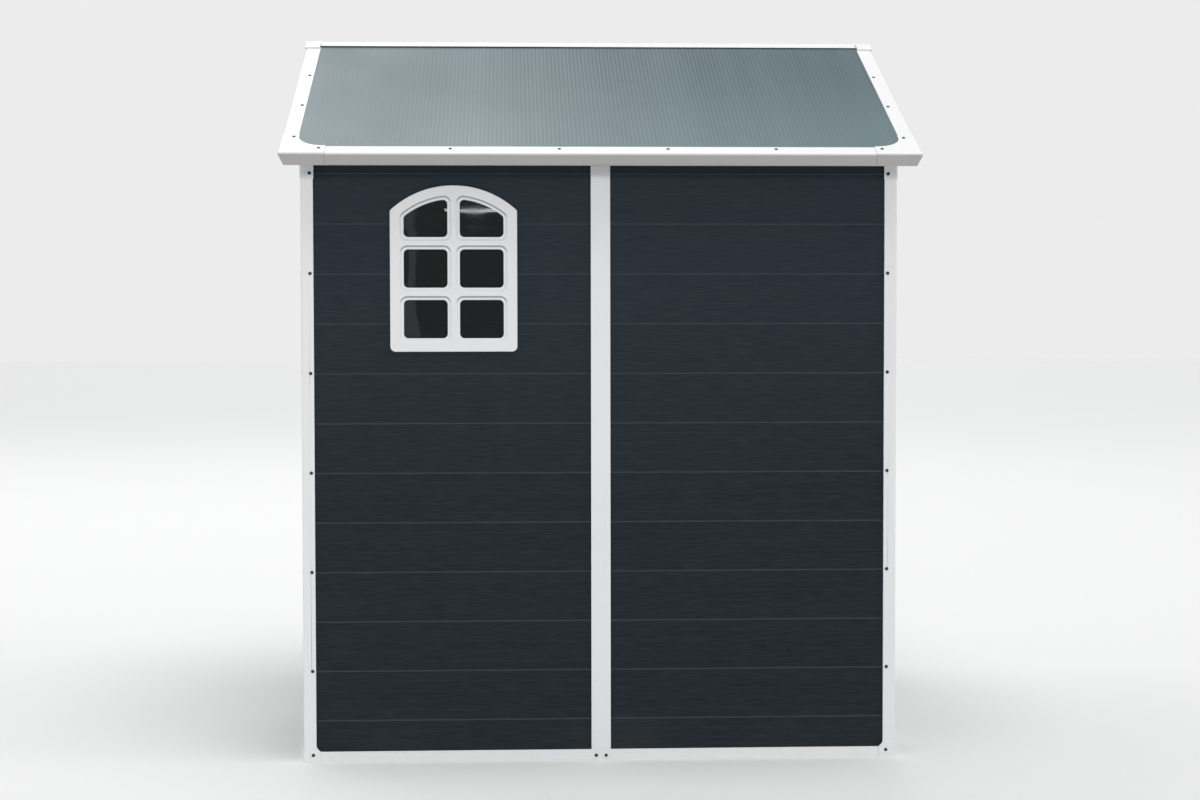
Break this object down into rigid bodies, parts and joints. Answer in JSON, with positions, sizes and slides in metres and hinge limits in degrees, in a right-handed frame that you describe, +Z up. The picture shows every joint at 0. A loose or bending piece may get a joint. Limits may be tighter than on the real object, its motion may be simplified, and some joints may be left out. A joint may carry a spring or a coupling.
{
  "type": "garden shed",
  "caption": "Gable-roofed plastic garden shed with grooved plank walls, white posts and trim, an arched barred window, a twin-wall roof and a pair of hinged doors.",
  "frame": {"origin": "on the ground at the middle of the plan", "axes": "+Z up, ridge along X, +X towards the doors, -Y the side with the window"},
  "size_m": [1.909, 1.9344, 2.2745],
  "materials": {
    "white_pvc": "satin white PVC",
    "dark_board": "matt dark blue-grey, fine wood grain",
    "roof_sheet": "grey-green twin-wall sheet with fine flutes up the slope",
    "floor_board": "grey",
    "clear_glazing": "clear plastic sheet",
    "aluminium": "mill",
    "zinc_steel": "zinc plated",
    "black_screw": "black",
    "black_seal": "black"
  },
  "bodies": {
    "shed": {"floor_panels": "floor_board", "base_rail_window_side": "white_pvc", "base_rail_plain_side": "white_pvc", "base_rail_rear": "white_pvc", "door_sill": "white_pvc", "base_corner_connectors": "white_pvc", "corner_post_rear_window_side": "white_pvc", "corner_post_front_window_side": "white_pvc", "corner_post_rear_plain_side": "white_pvc", "corner_post_front_plain_side": "white_pvc", "joint_posts": "white_pvc", "top_corner_connectors": "white_pvc", "wall_plate_window_side": "white_pvc", "wall_plate_plain_side": "white_pvc", "tie_rail_rear": "white_pvc", "door_head": "white_pvc", "wall_panel_window": "dark_board", "wall_panel_window_side_front": "dark_board", "wall_panel_plain_side_front": "dark_board", "wall_panel_plain_side_rear": "dark_board", "wall_panel_rear_plain_side": "dark_board", "wall_panel_rear_window_side": "dark_board", "side_panels_front": "dark_board", "door_jambs": "white_pvc", "gable_panel_front": "dark_board", "gable_panel_rear": "dark_board", "gable_vents": "white_pvc", "window_outer_frame": "white_pvc", "window_inner_frame": "white_pvc", "window_glazing": "clear_glazing", "roof_sheet_window_side": "roof_sheet", "roof_sheet_plain_side": "roof_sheet", "eave_strips": "white_pvc", "rake_strips": "white_pvc", "eave_corner_connectors": "white_pvc", "ridge_cap": "white_pvc", "ridge_seal": "black_seal", "ridge_end_caps": "white_pvc", "ridge_beam": "aluminium", "ridge_brackets": "aluminium", "rafters": "aluminium", "hinge_plates_frame": "zinc_steel", "hinge_pins": "zinc_steel", "wall_screws": "black_screw", "roof_screws": "black_screw"},
    "active_door": {"door_stiles_active": "white_pvc", "door_rails_active": "white_pvc", "door_panels_active": "dark_board", "hinge_plates_active": "zinc_steel", "door_handle": "zinc_steel", "latch_guides": "zinc_steel"},
    "passive_door": {"door_stiles_passive": "white_pvc", "door_rails_passive": "white_pvc", "door_panels_passive": "dark_board", "hinge_plates_passive": "zinc_steel", "bolt_guides": "zinc_steel", "latch_keeper": "zinc_steel"},
    "latch": {"latch_bar": "zinc_steel"},
    "upper_bolt": {"top_bolt": "zinc_steel"},
    "lower_bolt": {"bottom_bolt": "zinc_steel"}
  },
  "joints": [
    {"name": "active_door_hinge", "type": "hinge", "parent": "shed", "child": "active_door", "pos_m": [0.9065, -0.627, 0.95], "axis": [0, 0, -1], "range_deg": [0, 110]},
    {"name": "passive_door_hinge", "type": "hinge", "parent": "shed", "child": "passive_door", "pos_m": [0.9065, 0.627, 0.95], "axis": [0, 0, 1], "range_deg": [0, 110]},
    {"name": "latch_slide", "type": "slide", "parent": "active_door", "child": "latch", "axis": [0, 1, 0], "range_m": [0, 0.055]},
    {"name": "upper_bolt_slide", "type": "slide", "parent": "passive_door", "child": "upper_bolt", "axis": [0, 0, 1], "range_m": [0, 0.03]},
    {"name": "lower_bolt_slide", "type": "slide", "parent": "passive_door", "child": "lower_bolt", "axis": [0, 0, -1], "range_m": [0, 0.03]}
  ]
}
